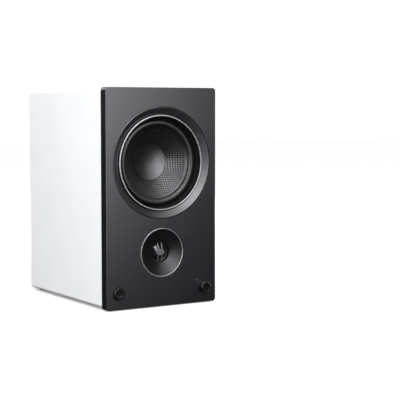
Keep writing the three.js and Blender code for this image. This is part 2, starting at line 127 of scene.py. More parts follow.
class Finish:
    """A Principled material, with short names for the nodes that give it its pattern."""

    def __init__(self, name, color, roughness, metallic=0.0, **sockets):
        self.material = bpy.data.materials.new(name)
        self.material.use_nodes = True
        self.tree = self.material.node_tree
        self.shader = self.tree.nodes["Principled BSDF"]
        self.shader.inputs["Base Color"].default_value = (*color, 1)
        self.shader.inputs["Roughness"].default_value = roughness
        self.shader.inputs["Metallic"].default_value = metallic
        for socket, value in sockets.items():
            self.shader.inputs[socket.replace("_", " ")].default_value = value
        self.place = self.node("ShaderNodeTexCoord").outputs["Object"]

    def node(self, kind, inputs=(), **settings):
        made = self.tree.nodes.new(kind)
        for key, value in settings.items():
            setattr(made, key, value)
        for socket, value in dict(inputs).items():
            if isinstance(value, bpy.types.NodeSocket):
                self.tree.links.new(value, made.inputs[socket])
            else:
                made.inputs[socket].default_value = value
        return made

    def stretched(self, x, y, z):
        """Object coordinates scaled apart, for streaks and grain."""
        scaled = self.node("ShaderNodeVectorMath", {0: self.place, 1: (x, y, z)}, operation="MULTIPLY")
        return scaled.outputs["Vector"]

    def noise(self, size_mm, detail=2.0, place=None):
        """Noise whose features are about size_mm across."""
        inputs = {"Vector": place or self.place, "Scale": 1 / (size_mm * MM), "Detail": detail}
        return self.node("ShaderNodeTexNoise", inputs).outputs["Fac"]

    def attribute(self, name):
        return self.node("ShaderNodeAttribute", attribute_name=name).outputs["Fac"]

    def spread(self, value, low, high, at=(0.3, 0.7)):
        """Maps a pattern smoothly to the range low to high."""
        inputs = {"Value": value, "From Min": at[0], "From Max": at[1], "To Min": low, "To Max": high}
        return self.node("ShaderNodeMapRange", inputs, interpolation_type="SMOOTHSTEP").outputs["Result"]

    def color(self, value, dark, light, at=(0.3, 0.7)):
        factor = self.spread(value, 0, 1, at)
        mix = self.node("ShaderNodeMix", {0: factor, 6: (*dark, 1), 7: (*light, 1)}, data_type="RGBA")
        self.tree.links.new(mix.outputs[2], self.shader.inputs["Base Color"])
        return self

    def roughness(self, value, low, high, at=(0.3, 0.7)):
        self.tree.links.new(self.spread(value, low, high, at), self.shader.inputs["Roughness"])
        return self

    def bump(self, height, depth_mm, strength=1.0):
        inputs = {"Height": height, "Distance": depth_mm * MM, "Strength": strength}
        previous = self.shader.inputs["Normal"].links
        if previous:
            inputs["Normal"] = previous[0].from_socket
        normal = self.node("ShaderNodeBump", inputs).outputs["Normal"]
        self.tree.links.new(normal, self.shader.inputs["Normal"])
        return self


def shade(color, factor):
    return tuple(channel * factor for channel in color)


def foil_wrap():
    """White satin foil: a very fine pebble and a slight unevenness."""
    finish = Finish("white_wrap", (0.865, 0.868, 0.876), 0.42)
    finish.color(finish.noise(60, 3), (0.855, 0.858, 0.866), (0.878, 0.881, 0.889))
    finish.roughness(finish.noise(9, 3), 0.4, 0.44)
    return finish.bump(finish.noise(0.5, 3), 0.003)


def satin_lacquer():
    """Dark charcoal lacquer on the baffle, with a fine orange peel."""
    finish = Finish("charcoal_baffle", (0.002, 0.002, 0.0034), 0.335, Specular_IOR_Level=1)
    finish.color(finish.noise(35, 4), (0.0015, 0.0015, 0.0029), (0.0025, 0.0025, 0.0039))
    finish.roughness(finish.noise(14, 3), 0.328, 0.342)
    return finish.bump(finish.noise(0.8, 2), 0.0012)


def moulded(name, color, roughness, grain_mm=0.5, grain_depth=0.002, gloss=0.5):
    """Moulded plastic or rubber: fine spark-eroded grain and slight mottling."""
    finish = Finish(name, color, roughness, Specular_IOR_Level=gloss)
    finish.color(finish.noise(7, 4), shade(color, 0.85), shade(color, 1.15))
    finish.roughness(finish.noise(5, 3), roughness - 0.008, roughness + 0.008)
    return finish.bump(finish.noise(grain_mm, 2), grain_depth)


def polished(name, color, roughness):
    """Bare or plated metal with a fine satin grain."""
    finish = Finish(name, color, roughness, 1.0)
    grain = finish.noise(0.6, 3)
    finish.color(finish.noise(5, 3), shade(color, 0.92), color)
    finish.roughness(grain, roughness * 0.85, roughness * 1.2)
    return finish.bump(grain, 0.004)


def powder_coat():
    finish = Finish("basket_black", (0.006, 0.006, 0.0065), 0.7, Specular_IOR_Level=0.2)
    finish.color(finish.noise(3, 3), (0.005, 0.005, 0.0055), (0.007, 0.007, 0.0075))
    return finish.bump(finish.noise(0.7, 3), 0.05)


def woven_fibre():
    """Glass-fibre tows under resin. The weave itself is in the cone's mesh, and "weave" is its height."""
    finish = Finish("woven_fibre", (0.02, 0.02, 0.022), 0.3, Specular_IOR_Level=0.62)
    height = finish.attribute("weave")
    # painted shade and painted highlight: the colour is darker in the weave's holes and lighter on its
    # crowns
    finish.color(height, (0.001, 0.001, 0.0012), (0.008, 0.008, 0.009), at=(0.6, 0.98))
    finish.roughness(height, 0.6, 0.15, at=(0.5, 0.98))
    return finish.bump(finish.noise(0.6, 2), 0.002)


def cap_lacquer():
    finish = Finish("cap_satin", (0.004, 0.004, 0.0045), 0.31, Specular_IOR_Level=0.9)
    finish.color(finish.noise(12, 3), (0.0035, 0.0035, 0.004), (0.0045, 0.0045, 0.005))
    finish.roughness(finish.noise(6, 3), 0.305, 0.315)
    return finish.bump(finish.noise(0.6, 2), 0.001)


def winding():
    """Lacquered copper wire, wound round and round."""
    finish = Finish("copper_wire", (0.72, 0.38, 0.2), 0.3, 1.0)
    inputs = {"Vector": finish.place, "Scale": 1 / (2.4 * MM)}
    turns = finish.node("ShaderNodeTexWave", inputs, bands_direction="Y").outputs["Fac"]
    # painted shade: the copper is darker in the grooves between turns, where the bump is low
    finish.color(turns, (0.35, 0.16, 0.08), (0.75, 0.42, 0.23))
    return finish.bump(turns, 0.1)


def cloth(name, color, pitch_mm):
    """Woven cloth: two crossed sets of threads."""
    finish = Finish(name, color, 0.85)
    threads = []
    for direction in ("X", "Z"):
        inputs = {"Vector": finish.place, "Scale": 0.314 / (pitch_mm * MM)}
        wave = finish.node("ShaderNodeTexWave", inputs, bands_direction=direction)
        threads.append(wave.outputs["Fac"])
    crossed = finish.node("ShaderNodeMath", {0: threads[0], 1: threads[1]}, operation="MAXIMUM")
    # painted shade: the cloth is darker between the threads, where the bump is low
    finish.color(crossed.outputs[0], shade(color, 0.6), color, at=(0, 1))
    return finish.bump(crossed.outputs[0], 0.1)


def ferrite():
    finish = Finish("ferrite", (0.045, 0.045, 0.048), 0.7)
    finish.color(finish.noise(2, 4), (0.035, 0.035, 0.037), (0.06, 0.06, 0.063))
    return finish.bump(finish.noise(0.8, 4), 0.05)


def light_pipe():
    finish = Finish("light_pipe", (0.11, 0.11, 0.115), 0.3)
    finish.color(finish.noise(0.8, 2), (0.09, 0.09, 0.094), (0.13, 0.13, 0.135))
    return finish.bump(finish.noise(0.3, 2), 0.004)


def circuit_board():
    """Green solder mask over copper tracks."""
    finish = Finish("circuit_board", (0.02, 0.14, 0.05), 0.35)
    inputs = {"Vector": finish.place, "Scale": 1 / (2.2 * MM)}
    cells = finish.node("ShaderNodeTexVoronoi", inputs, distance="CHEBYCHEV").outputs["Distance"]
    finish.color(cells, (0.035, 0.2, 0.07), (0.012, 0.1, 0.035), at=(0.35, 0.45))
    return finish.bump(cells, 0.03)


def anodised_plate():
    """Black anodised sheet with a fine lengthwise brush."""
    finish = Finish("plate_black", (0.035, 0.035, 0.037), 0.42)
    brushed = finish.noise(0.5, 3, finish.stretched(0.04, 1, 1))
    finish.color(finish.noise(20, 3), (0.03, 0.03, 0.032), (0.04, 0.04, 0.042))
    finish.roughness(brushed, 0.36, 0.48)
    return finish.bump(brushed, 0.01)


def loose_fibre():
    finish = Finish("wadding", (0.8, 0.8, 0.77), 0.95, Sheen_Weight=0.3)
    tangle = finish.noise(1.2, 5)
    # painted shade: the wadding is darker in its hollows, where the bump is low
    finish.color(tangle, (0.6, 0.6, 0.57), (0.86, 0.86, 0.84))
    return finish.bump(tangle, 0.6)


FINISHES = {
    "white_wrap": foil_wrap(),
    "charcoal_baffle": satin_lacquer(),
    "satin_black": moulded("satin_black", (0.009, 0.009, 0.01), 0.29, 0.5, 0.001, 1.0),
    "silver_trim": polished("silver_trim", (0.38, 0.382, 0.387), 0.4),
    "basket_black": powder_coat(),
    "black_rubber": moulded("black_rubber", (0.005, 0.005, 0.0055), 0.4, 0.6, 0.001, 0.6),
    "woven_fibre": woven_fibre(),
    "cap_satin": cap_lacquer(),
    "copper_wire": winding(),
    "spider_cloth": cloth("spider_cloth", (0.62, 0.47, 0.24), 0.8),
    "plated_steel": polished("plated_steel", (0.55, 0.56, 0.58), 0.34),
    "ferrite": ferrite(),
    "silk_dome": moulded("silk_dome", (0.006, 0.006, 0.007), 0.13, 0.35, 0.002, 1.0),
    "light_pipe": light_pipe(),
    "circuit_board": circuit_board(),
    "black_plastic": moulded("black_plastic", (0.01, 0.01, 0.0105), 0.34, 0.5, 0.002, 0.9),
    "plate_black": anodised_plate(),
    "tinned_metal": polished("tinned_metal", (0.72, 0.71, 0.68), 0.22),
    "gilt_metal": polished("gilt_metal", (0.83, 0.6, 0.27), 0.22),
    "red_plastic": moulded("red_plastic", (0.42, 0.015, 0.015), 0.28, 0.5, 0.004),
    "wadding": loose_fibre(),
    # for single pieces that differ a little from the rest of their slot
    # black foam whose colour, darker than the rubber's, is painted shade for the deep gap behind the silver
    # ring
    "foam": moulded("black_foam_and_painted_shade", (0.003, 0.003, 0.003), 0.85, 0.5, 0.02, 0.15),
    "soft_black": moulded("soft_black", (0.004, 0.004, 0.0046), 0.29, 0.5, 0.001, 0.42),
    "control_black": moulded("control_black", (0.004, 0.004, 0.0045), 0.27, 0.5, 0.001, 0.4),
    "satin_grey": moulded("satin_grey", (0.075, 0.075, 0.078), 0.3, 0.5, 0.001, 1.0),
}

# ---------------------------------------------------------------- mesh helpers


def soften(profile, radius, steps=4, closed=True):
    """Rounds the corners of a profile. A point may carry its own radius as a third number."""
    rounded = []
    count = len(profile)
    for index, point in enumerate(profile):
        here = np.array(point[:2], float)
        own = point[2] if len(point) > 2 else radius
        at_end = not closed and index in (0, count - 1)
        before = np.array(profile[index - 1][:2], float) - here
        after = np.array(profile[(index + 1) % count][:2], float) - here
        length_before, length_after = np.linalg.norm(before), np.linalg.norm(after)
        if at_end or own == 0 or min(length_before, length_after) == 0:
            rounded.append(here)
            continue
        before, after = before / length_before, after / length_after
        turn = math.pi - math.acos(max(-1, min(1, float(before @ after))))
        reach = min(own * math.tan(turn / 2), 0.45 * length_before, 0.45 * length_after)
        if turn < math.radians(5):
            rounded.append(here)
            continue
        for step in range(steps + 1):
            t = step / steps
            start, end = here + before * reach, here + after * reach
            rounded.append((1 - t) ** 2 * start + 2 * t * (1 - t) * here + t ** 2 * end)
    return rounded


def arc(middle, radius, start, end, count=16):
    """Points (radius, depth) round an arc. Angles are in degrees, and -90 points to the front."""
    angles = np.radians(np.linspace(start, end, count + 1))
    return [(middle[0] + radius * math.cos(a), middle[1] + radius * math.sin(a)) for a in angles]


def smooth_mesh(vertices, faces, sharp_degrees=38):
    """A mesh from points in mm, with its faces pointing out and only real edges left sharp."""
    mesh = bpy.data.meshes.new("mesh")
    mesh.from_pydata([tuple(v) for v in np.asarray(vertices) * MM], [], faces)
    return tidied(mesh, sharp_degrees)


def tidied(mesh, sharp_degrees=38):
    work = bmesh.new()
    work.from_mesh(mesh)
    bmesh.ops.recalc_face_normals(work, faces=work.faces)
    for face in work.faces:
        face.smooth = True
    for edge in work.edges:
        edge.smooth = len(edge.link_faces) == 2 and edge.calc_face_angle(0) < math.radians(sharp_degrees)
    work.to_mesh(mesh)
    work.free()
    return mesh


def turned(profile, place, segments=128, axis="Y", ripple=None):
    """Turns a profile of (radius, depth) points round an axis through place.

    A profile starts and ends on the axis, or else it closes on itself. On the Z axis, place is
    (x, depth) and the profile's second number is the height. ripple(angle) changes the radius.
    """
    angles = np.linspace(0, 2 * math.pi, segments, endpoint=False)
    on_axis = profile[0][0] < 1e-6 and profile[-1][0] < 1e-6
    vertices, rings = [], []
    for radius, along in profile:
        if radius < 1e-6:
            rings.append([len(vertices)] * segments)
            ring = np.array([[0.0, 0.0, along]])
        else:
            rings.append(list(range(len(vertices), len(vertices) + segments)))
            radii = radius * (ripple(angles) if ripple else np.ones(segments))
            ring = np.stack([radii * np.cos(angles), radii * np.sin(angles), np.full(segments, along)], 1)
        vertices.extend(ring)
    faces = []
    pairs = list(zip(rings, rings[1:])) + ([] if on_axis else [(rings[-1], rings[0])])
    for first, second in pairs:
        for i in range(segments):
            j = (i + 1) % segments
            corners = [first[i], first[j], second[j], second[i]]
            face = list(dict.fromkeys(corners))
            if len(face) > 2:
                faces.append(face)
    vertices = np.array(vertices)
    if axis == "Y":
        vertices = vertices[:, [0, 2, 1]] + (place[0], FACE_Y, place[1])
    else:
        vertices = vertices + (place[0], place[1] + FACE_Y, 0)
    return smooth_mesh(vertices, faces)


def rounded_rectangle(width, height, corner, steps=8):
    """An outline seen from the front, as a function of how far it is drawn in."""
    def outline(inset):
        x, z = width / 2 - inset, height / 2 - inset
        r = max(corner - inset, 0.02)
        points = []
        for quarter, (side, up) in enumerate([(1, 1), (-1, 1), (-1, -1), (1, -1)]):
            angles = np.linspace(0, math.pi / 2, steps + 1) + quarter * math.pi / 2
            corner_points = [side * (x - r) + r * np.cos(angles), up * (z - r) + r * np.sin(angles)]
            points.append(np.stack(corner_points, 1))
        return np.concatenate(points)
    return outline


def ellipse(half_width, half_height, count=64):
    def outline(inset):
        angles = np.linspace(0, 2 * math.pi, count, endpoint=False)
        return np.stack([(half_width - inset) * np.cos(angles), (half_height - inset) * np.sin(angles)], 1)
    return outline


def drawn_in(ring, inset):
    """A closed ring of points with its edge moved inwards."""
    ahead, behind = np.roll(ring, -1, 0) - ring, ring - np.roll(ring, 1, 0)
    normals = []
    for edge in (ahead, behind):
        normals.append(np.stack([-edge[:, 1], edge[:, 0]], 1) / np.linalg.norm(edge, axis=1, keepdims=True))
    both = normals[0] + normals[1]
    both /= np.linalg.norm(both, axis=1, keepdims=True)
    area = np.sum(ring[:, 0] * np.roll(ring[:, 1], -1) - ring[:, 1] * np.roll(ring[:, 0], -1))
    return ring + both * inset * np.sign(area)


def shrinking(ring):
    """An outline that is drawn in by shrinking it about its middle."""
    centre = (ring.min(0) + ring.max(0)) / 2
    reach = (ring.max(0) - ring.min(0)) / 2

    def outline(inset):
        return centre + (ring - centre) * (1 - inset / reach)
    return outline


def eased(front, back, front_radius, back_radius=0.0, steps=4):
    """Layers (inset, depth) of a slab whose front and back edges are rounded."""
    layers = []
    for step in range(steps + 1):
        angle = math.pi / 2 * step / steps
        layers.append((front_radius * (1 - math.sin(angle)), front + front_radius * (1 - math.cos(angle))))
    for step in range(steps + 1):
        angle = math.pi / 2 * step / steps
        layers.append((back_radius * (1 - math.cos(angle)), back - back_radius * (1 - math.sin(angle))))
    if back_radius == 0:
        layers = layers[:steps + 2]
    if front_radius == 0:
        layers = layers[steps:]
    return layers


def slab(outline, layers, place=(0, 0), along="Y"):
    """Stacks an outline through layers of (inset, depth). Along X, the outline is (depth, height)."""
    rings = []
    for inset, level in layers:
        across, up = outline(inset).T
        flat = np.full(len(across), level)
        x, depth = (across, flat) if along == "Y" else (flat, across)
        rings.append(np.stack([x + place[0], depth + FACE_Y, up + place[1]], 1))
    count = len(rings[0])
    faces = [list(range(count)), list(range((len(rings) - 1) * count, len(rings) * count))]
    for level in range(len(rings) - 1):
        for i in range(count):
            j = (i + 1) % count
            base = level * count
            faces.append([base + i, base + j, base + count + j, base + count + i])
    return smooth_mesh(np.concatenate(rings), faces)


def combined(base, operation, others):
    """Cuts or joins meshes with Blender's exact boolean."""
    scene_objects = bpy.context.scene.collection.objects
    body = bpy.data.objects.new("base", base)
    scene_objects.link(body)
    tools = []
    for other in others:
        tool = bpy.data.objects.new("tool", other)
        scene_objects.link(tool)
        tools.append(tool)
        modifier = body.modifiers.new("boolean", "BOOLEAN")
        modifier.operation = operation
        modifier.solver = "EXACT"
        modifier.object = tool
    graph = bpy.context.evaluated_depsgraph_get()
    result = bpy.data.meshes.new_from_object(body.evaluated_get(graph))
    for item in [body, *tools]:
        bpy.data.objects.remove(item)
    return tidied(result)


def cut(base, *tools):
    return combined(base, "DIFFERENCE", tools)


def join(base, *others):
    return combined(base, "UNION", others)


def piece(name, mesh, slot, body="cabinet", crisp=True):
    """A shown piece that rides on a body and takes the finish of a material slot."""
    obj = bpy.data.objects.new(name, mesh)
    bpy.context.scene.collection.objects.link(obj)
    mesh.materials.clear()
    mesh.materials.append(FINISHES[slot].material)
    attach(obj, body)
    if crisp:
        weights = obj.modifiers.new("flat faces stay flat", "WEIGHTED_NORMAL")
        weights.keep_sharp = True
    return obj


def stand_in(node, mesh, *more_nodes, crisp=True, finish=None):
    """A finer piece in the place of a CAD node, named after it."""
    obj = piece(node + "_fine", mesh, SLOT_OF[node], BODY_OF[node], crisp)
    if finish:
        mesh.materials[0] = FINISHES[finish].material
    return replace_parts(obj, node, *more_nodes)


def bends(obj):
    """Takes obj off its body and bakes its place into its mesh."""
    obj.parent = None
    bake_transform(obj)


def rod(radius, front, back, place, segments=48):
    return turned([(0, front), (radius, front), (radius, back), (0, back)], place, segments)


def block(width, height, front, back, place=(0, 0), edge=0.4):
    return slab(rounded_rectangle(width, height, max(edge, 0.05), 3), eased(front, back, edge, edge), place)


# ---------------------------------------------------------------- cabinet


def cabinet():
    """One foil-wrapped shell stands for the four boards, whose mitred joints the foil hides."""
    width, height = (CABINET_HIGH - CABINET_LOW)[[0, 2]]
    place = (0, (CABINET_LOW[2] + CABINET_HIGH[2]) / 2)
    front, back = depths("left_panel")
    board = box_mm("left_panel")[1][0] - CABINET_LOW[0]
    outside = slab(rounded_rectangle(width, height, 4), eased(front, back, 0.6, 1.2), place)
    inside_outline = rounded_rectangle(width - 2 * board, height - 2 * board, 0.5)
    inside = slab(inside_outline, [(0, front - 5), (0, back + 5)], place)
    stand_in("left_panel", cut(outside, inside), "right_panel", "top_panel", "bottom_panel")

    low, high = box_mm("rear_panel")
    rear_front, rear_back = depths("rear_panel")
    middle_z = (low[2] + high[2]) / 2
    board = block(high[0] - low[0], high[2] - low[2], rear_front, rear_back, (0, middle_z), 0.8)
    opening = block(96, 130, rear_front - 2, rear_back + 2, PLATE, 0)
    port_hole = rod(24.8, rear_front - 2, rear_back + 2, PORT, 96)
    stand_in("rear_panel", cut(board, opening, port_hole))


def feet():
    top = 2.7
    for node in ("foot_front_left", "foot_front_right", "foot_rear_left", "foot_rear_right"):
        low, high = box_mm(node)
        x, y, _ = (low + high) / 2
        profile = [(0, 0.5), (4.6, 0.5), (5.2, 0), (7.2, 0), (8, 1.2), (8, top), (0, top)]
        mesh = turned(soften(profile, 0.5, closed=False), (x, y - FACE_Y), 64, axis="Z")
        stand_in(node, mesh)


def baffle():
    """The face board, with a plug behind it that fills the cabinet's mouth, and its holes."""
    ahead, through = -3, 24           # every hole is cut from before the face to behind the plug
    outline = rounded_rectangle(BAFFLE_WIDTH, BAFFLE_HEIGHT, 4.5, 12)
    front = slab(outline, eased(0, 15, 0.9, 0.6), BAFFLE_MIDDLE)
    plug_low, plug_high = 42, CABINET_HIGH[2] - 12.3
    plug = block(147.4, plug_high - plug_low, 14, 21, (0, (plug_low + plug_high) / 2), 0.5)
    woofer_hole = turned(soften([
        (0, ahead, 0), (80, ahead, 0), (78.1, 0, 0.2), (77.9, 0.5, 0.2), (77.9, 6.3, 0), (72.5, 6.3, 0),
        (72.5, 11.8, 0), (66.6, 11.8, 0), (66.6, through, 0), (0, through, 0),
    ], 0, closed=False), WOOFER, 192)
    tweeter_hole = turned([
        (0, ahead), (37.5, ahead), (35.3, 0), (35.1, 0.3), (35.1, 11.9), (24.6, 11.9), (24.6, through),
        (0, through),
    ], TWEETER, 128)
    low, high = box_mm("source_button")
    button_radius = (high[0] - low[0]) / 2
    knob_hole = rod(4.5, ahead, through, KNOB)
    button_hole = turned([
        (0, ahead), (button_radius + 3.5, ahead), (button_radius + 0.7, 0), (button_radius + 0.35, 0.4),
        (button_radius + 0.3, through), (0, through),
    ], BUTTON, 96)
    light_hole = rod(1.3, ahead, through, LIGHT, 32)
    mesh = cut(join(front, plug), woofer_hole, tweeter_hole, knob_hole, button_hole, light_hole)
    stand_in("front_baffle", mesh)


# ---------------------------------------------------------------- woofer


def woofer_trim():
    trim = [(77.6, 6), (77.6, 0.75, 0.5), (76.6, 0.1, 0.6), (67.6, 4, 0.3), (67.6, 6)]
    stand_in("woofer_trim_ring", turned(soften(trim, 0.3), WOOFER, 256))
    ring = [(64.3, 3.3, 0.2), (64.3, 1.7, 0.8), (66.4, 1.7, 0.8), (66.4, 3.3, 0.2)]
    stand_in("woofer_silver_ring", turned(soften(ring, 0.9, 6), WOOFER, 256))
    gasket = [(63.7, 3.6), (66.4, 3.6), (66.4, 8.7), (63.7, 8.7)]
    # the gasket takes the darker foam finish as painted shade in the gap behind the silver ring
    stand_in("woofer_gasket", turned(soften(gasket, 0.3), WOOFER, 192), finish="foam")


CONE_RIM = 50.4
CONE_NECK = 13.4
CONE_THICKNESS = 1.1
SURROUND_LIP = 47.4               # the surround covers the cone's edge down to this radius
WEAVE_PITCH = 3.0                 # between one tow and the next
WEAVE_HEIGHT = 0.42
WEAVE_END = 24.0                  # the dust cap hides the cone from this radius inwards


def cone_depth(radius):
    """The cone's front face, a little steeper towards its neck."""
    rim_depth, slope, steepening = 16.6, 0.72, 0.0041
    inward = CONE_RIM - radius
    return rim_depth + slope * inward + steepening * inward ** 2


def surround():
    """A half roll between a flat outer lip, faced with foam whose darker colour is painted shade for the
    deep gap, and a sloping lip glued to the cone.
    """
    lip = 15
    roll = 55.4
    foam_radius = 60
    inner = SURROUND_LIP
    front = [(63.4, lip, 0.2), (60.4, lip, 0.8)]
    front += [(r, d, 0) for r, d in arc((roll, lip - 0.2), 4.5, -8, -172, 28)]
    front += [(50.2, lip + 0.5, 1.2), (inner, cone_depth(inner) - 1, 0.3)]
    back = [(inner, cone_depth(inner) - 0.4, 0.2), (50.9, lip + 1.1, 0.4)]
    back += [(r, d, 0) for r, d in arc((roll, lip - 0.2), 3.8, -172, -8, 28)]
    back += [(60, lip + 0.7, 0.4), (63.4, lip + 0.7, 0.2)]
    mesh = turned(soften(front + back, 0.3), WOOFER, 192)
    obj = stand_in("woofer_surround", mesh, crisp=False)
    mesh.materials.append(FINISHES["foam"].material)
    for face in mesh.polygons:
        x, _, z = face.center / MM
        face.material_index = int(math.hypot(x - WOOFER[0], z - WOOFER[1]) > foam_radius)
    bends(obj)


def weave_height(x, z):
    """Height of a plain weave, 0 in the holes to 1 on the crowns, at points in mm."""
    narrowness = 2.15             # a tow spans 2 / narrowness of the pitch
    level, swing = 0.62, 0.38     # a tow's mean height, and how far it dives and rises
    u, v = x / WEAVE_PITCH, z / WEAVE_PITCH
    column, row = np.round(u), np.round(v)
    across_warp = np.sqrt(np.clip(1 - (narrowness * (u - column)) ** 2, 0, 1))
    across_weft = np.sqrt(np.clip(1 - (narrowness * (v - row)) ** 2, 0, 1))
    side = np.where((column + row) % 2 == 0, 1.0, -1.0)
    crown_warp = np.cos(math.pi * (v - row)) * side
    crown_weft = -np.cos(math.pi * (u - column)) * side
    warp = across_warp * (level + swing * crown_warp)
    weft = across_weft * (level + swing * crown_weft)
    return np.maximum(warp, weft)


def cone():
    """The cone's front carries the weave in its mesh. It fades out under the lip of the surround."""
    rings, segments = 84, 720
    plain_height = 0.4
    angles = np.linspace(0, 2 * math.pi, segments, endpoint=False)
    radii = CONE_RIM - (CONE_RIM - WEAVE_END) * np.linspace(0, 1, rings)
    points, heights = [], []
    for radius in radii:
        x, z = radius * np.cos(angles), radius * np.sin(angles)
        fade = np.clip((CONE_RIM - 0.6 - radius) / 2.4, 0, 1)
        height = weave_height(x, z) * fade
        depth = cone_depth(radius) + WEAVE_HEIGHT * (0.5 - height) * fade
        points.append(np.stack([x + WOOFER[0], depth + FACE_Y, z + WOOFER[1]], 1))
        heights.append(height)
    plain = [(radius, cone_depth(radius)) for radius in np.linspace(WEAVE_END - 2, CONE_NECK, 5)]
    for radius in np.linspace(CONE_NECK, CONE_RIM, 16):
        plain.append((radius, cone_depth(radius) + CONE_THICKNESS))
    for radius, depth in plain:
        x, z = radius * np.cos(angles), radius * np.sin(angles)
        points.append(np.stack([x + WOOFER[0], np.full(segments, depth + FACE_Y), z + WOOFER[1]], 1))
        heights.append(np.full(segments, plain_height))
    total = len(points)
    step = np.arange(segments)
    follow = (step + 1) % segments
    faces = []
    for ring in range(total):
        here, there = ring * segments, (ring + 1) % total * segments
        faces.extend(np.stack([here + step, here + follow, there + follow, there + step], 1).tolist())
    mesh = smooth_mesh(np.concatenate(points), faces, 75)
    weave = mesh.attributes.new("weave", "FLOAT", "POINT")
    weave.data.foreach_set("value", np.concatenate(heights).astype(np.float32))
    stand_in("woofer_cone", mesh, crisp=False)


def dust_cap():
    rim, dish, radius, thickness = 35.4, 4.2, 26.0, 0.8
    steps = np.linspace(0, radius, 40)
    front = [(r, rim + dish * (1 - (r / radius) ** 2)) for r in steps]
    back = [(r, d + thickness) for r, d in reversed(front)]
    rolled = front[:-1] + arc((radius - 0.4, rim + 0.4), 0.4, -60, 60, 6) + back[1:]
    stand_in("woofer_dust_cap", turned(rolled, WOOFER, 192), crisp=False)


def spider():
    """Corrugated cloth disc that centres the voice coil."""
    inner, outer, waves, swing = 13.5, 47.2, 7, 1.2
    middle_depth, thickness = 52, 0.6
    radii = np.linspace(inner, outer, 120)
    fade = np.clip(np.minimum(radii - inner, outer - radii) / 4, 0, 1)
    wave = middle_depth + swing * np.sin((radii - inner) / (outer - inner) * 2 * math.pi * waves) * fade
    front = list(zip(radii, wave))
    back = [(radius, depth + thickness) for radius, depth in reversed(front)]
    obj = stand_in("woofer_spider", turned(front + back, WOOFER, 128), crisp=False)
    bends(obj)


# ---------------------------------------------------------------- tweeter


HORN_RIM = 32.2
HORN_RIM_DEPTH = 0.9
HORN_THROAT = 14.6
DOME_RADIUS = 11.6


def horn_depth(radius):
    """The horn's shallow flare, almost straight."""
    width, fall, bend = 17.2, 5.4, 0.9
    inward = (HORN_RIM - radius) / width
    return HORN_RIM_DEPTH + fall * max(inward, 0) ** bend


def tweeter():
    flare = [(radius, horn_depth(radius), 0) for radius in np.linspace(HORN_RIM - 0.4, HORN_THROAT + 1, 24)]
    back = 11.6
    profile = [
        (HORN_RIM, HORN_RIM_DEPTH, 0.25), *flare, (HORN_THROAT, 6.6, 0.7), (HORN_THROAT, back),
        (HORN_RIM, back),
    ]
    stand_in("tweeter_waveguide", turned(soften(profile, 0.3, 6), TWEETER, 192), finish="soft_black")

    ring = [(32.6, 3, 0.2), (32.6, 0.5, 0.7), (34.5, 0.5, 0.7), (34.5, 3, 0.2)]
    stand_in("tweeter_silver_ring", turned(soften(ring, 0.7, 6), TWEETER, 192))

    top, rise, inner = 7.9, 4.2, 10.9
    sphere = (DOME_RADIUS ** 2 + rise ** 2) / (2 * rise)
    skin = [(r, top + sphere - math.sqrt(sphere ** 2 - r ** 2)) for r in np.linspace(0, DOME_RADIUS, 28)]
    profile = skin + [(DOME_RADIUS, 12.4), (11.3, 12.4), (11.3, 17.2), (inner, 17.2)]
    profile += [(r * inner / DOME_RADIUS, d + 0.6) for r, d in reversed(skin)]
    stand_in("tweeter_dome", turned(profile, TWEETER, 96))

    front = [(18, 11.9), (14.4, 11.9), *arc((13.1, 11.9), 1.3, -10, -170, 12), (11.9, 12.1)]
    back = [(11.9, 12.4), *arc((13.1, 12.1), 0.8, -170, -10, 12), (18, 12.4)]
    obj = stand_in("tweeter_surround", turned(front + back, TWEETER, 96), crisp=False)
    bends(obj)
    diffuser()


def diffuser():
    """A bridge over the dome: two thin arched bars with an oval disc where they pass its middle."""
    front, back = 5.2, 6.9
    low, high = box_mm("tweeter_diffuser")
    reach = (high[2] - low[2]) / 2
    heights = np.linspace(-reach, reach, 41)
    bow = front + 0.2 + 3.4 * (heights / reach) ** 2
    bar_thickness, half_width, apart = 1.4, 0.75, 3.05
    side = np.concatenate([np.stack([bow, heights], 1), np.stack([bow + bar_thickness, heights], 1)[::-1]])

    def outline(inset):
        return drawn_in(side, inset)

    layers = eased(-half_width, half_width, 0.35, 0.35)
    bars = [slab(outline, layers, (x, TWEETER[1]), "X") for x in (-apart, apart)]
    oval = ellipse(6.8, 4.3)
    disc = slab(oval, eased(front, back, 0.5, 0.3), TWEETER)
    dish = slab(ellipse(4.6, 2.5), [(0.6, front + 0.3), (0, front), (-0.4, front - 1)], TWEETER)
    stand_in("tweeter_diffuser", join(cut(disc, dish), *bars), finish="satin_grey")


# ---------------------------------------------------------------- front controls


def controls():
    front, back = depths("volume_knob")
    low, high = box_mm("volume_knob")
    radius = (high[0] - low[0]) / 2
    profile = [
        (0, front + 0.25), (radius - 1.3, front + 0.25, 0.3), (radius - 1, front, 0.15),
        (radius - 0.6, front, 0.3), (radius, front + 0.6, 0.4), (radius, back, 0.4), (3.3, back),
        (3.3, front + 1.6), (0, front + 1.6),
    ]
    stand_in("volume_knob", turned(soften(profile, 0.2, closed=False), KNOB, 128), finish="control_black")

    front, _ = depths("source_button")
    low, high = box_mm("source_button")
    radius = (high[0] - low[0]) / 2
    profile = [
        (0, front + 0.45), (4.5, front + 0.45, 0.5), (5.1, front, 0.3), (radius - 0.5, front, 0.5),
        (radius, front + 0.6, 0.5), (radius, 12), (3, 12), (3, 20), (0, 20),
    ]
    mesh = turned(soften(profile, 0.3, closed=False), BUTTON, 128)
    stand_in("source_button", mesh, finish="control_black")

    profile = [(0, 0.02), (0.7, 0.05, 0.3), (1, 0.3, 0.2), (1, 24.7), (0, 24.7)]
    stand_in("status_light", turned(soften(profile, 0.1, closed=False), LIGHT, 32))


# ---------------------------------------------------------------- back


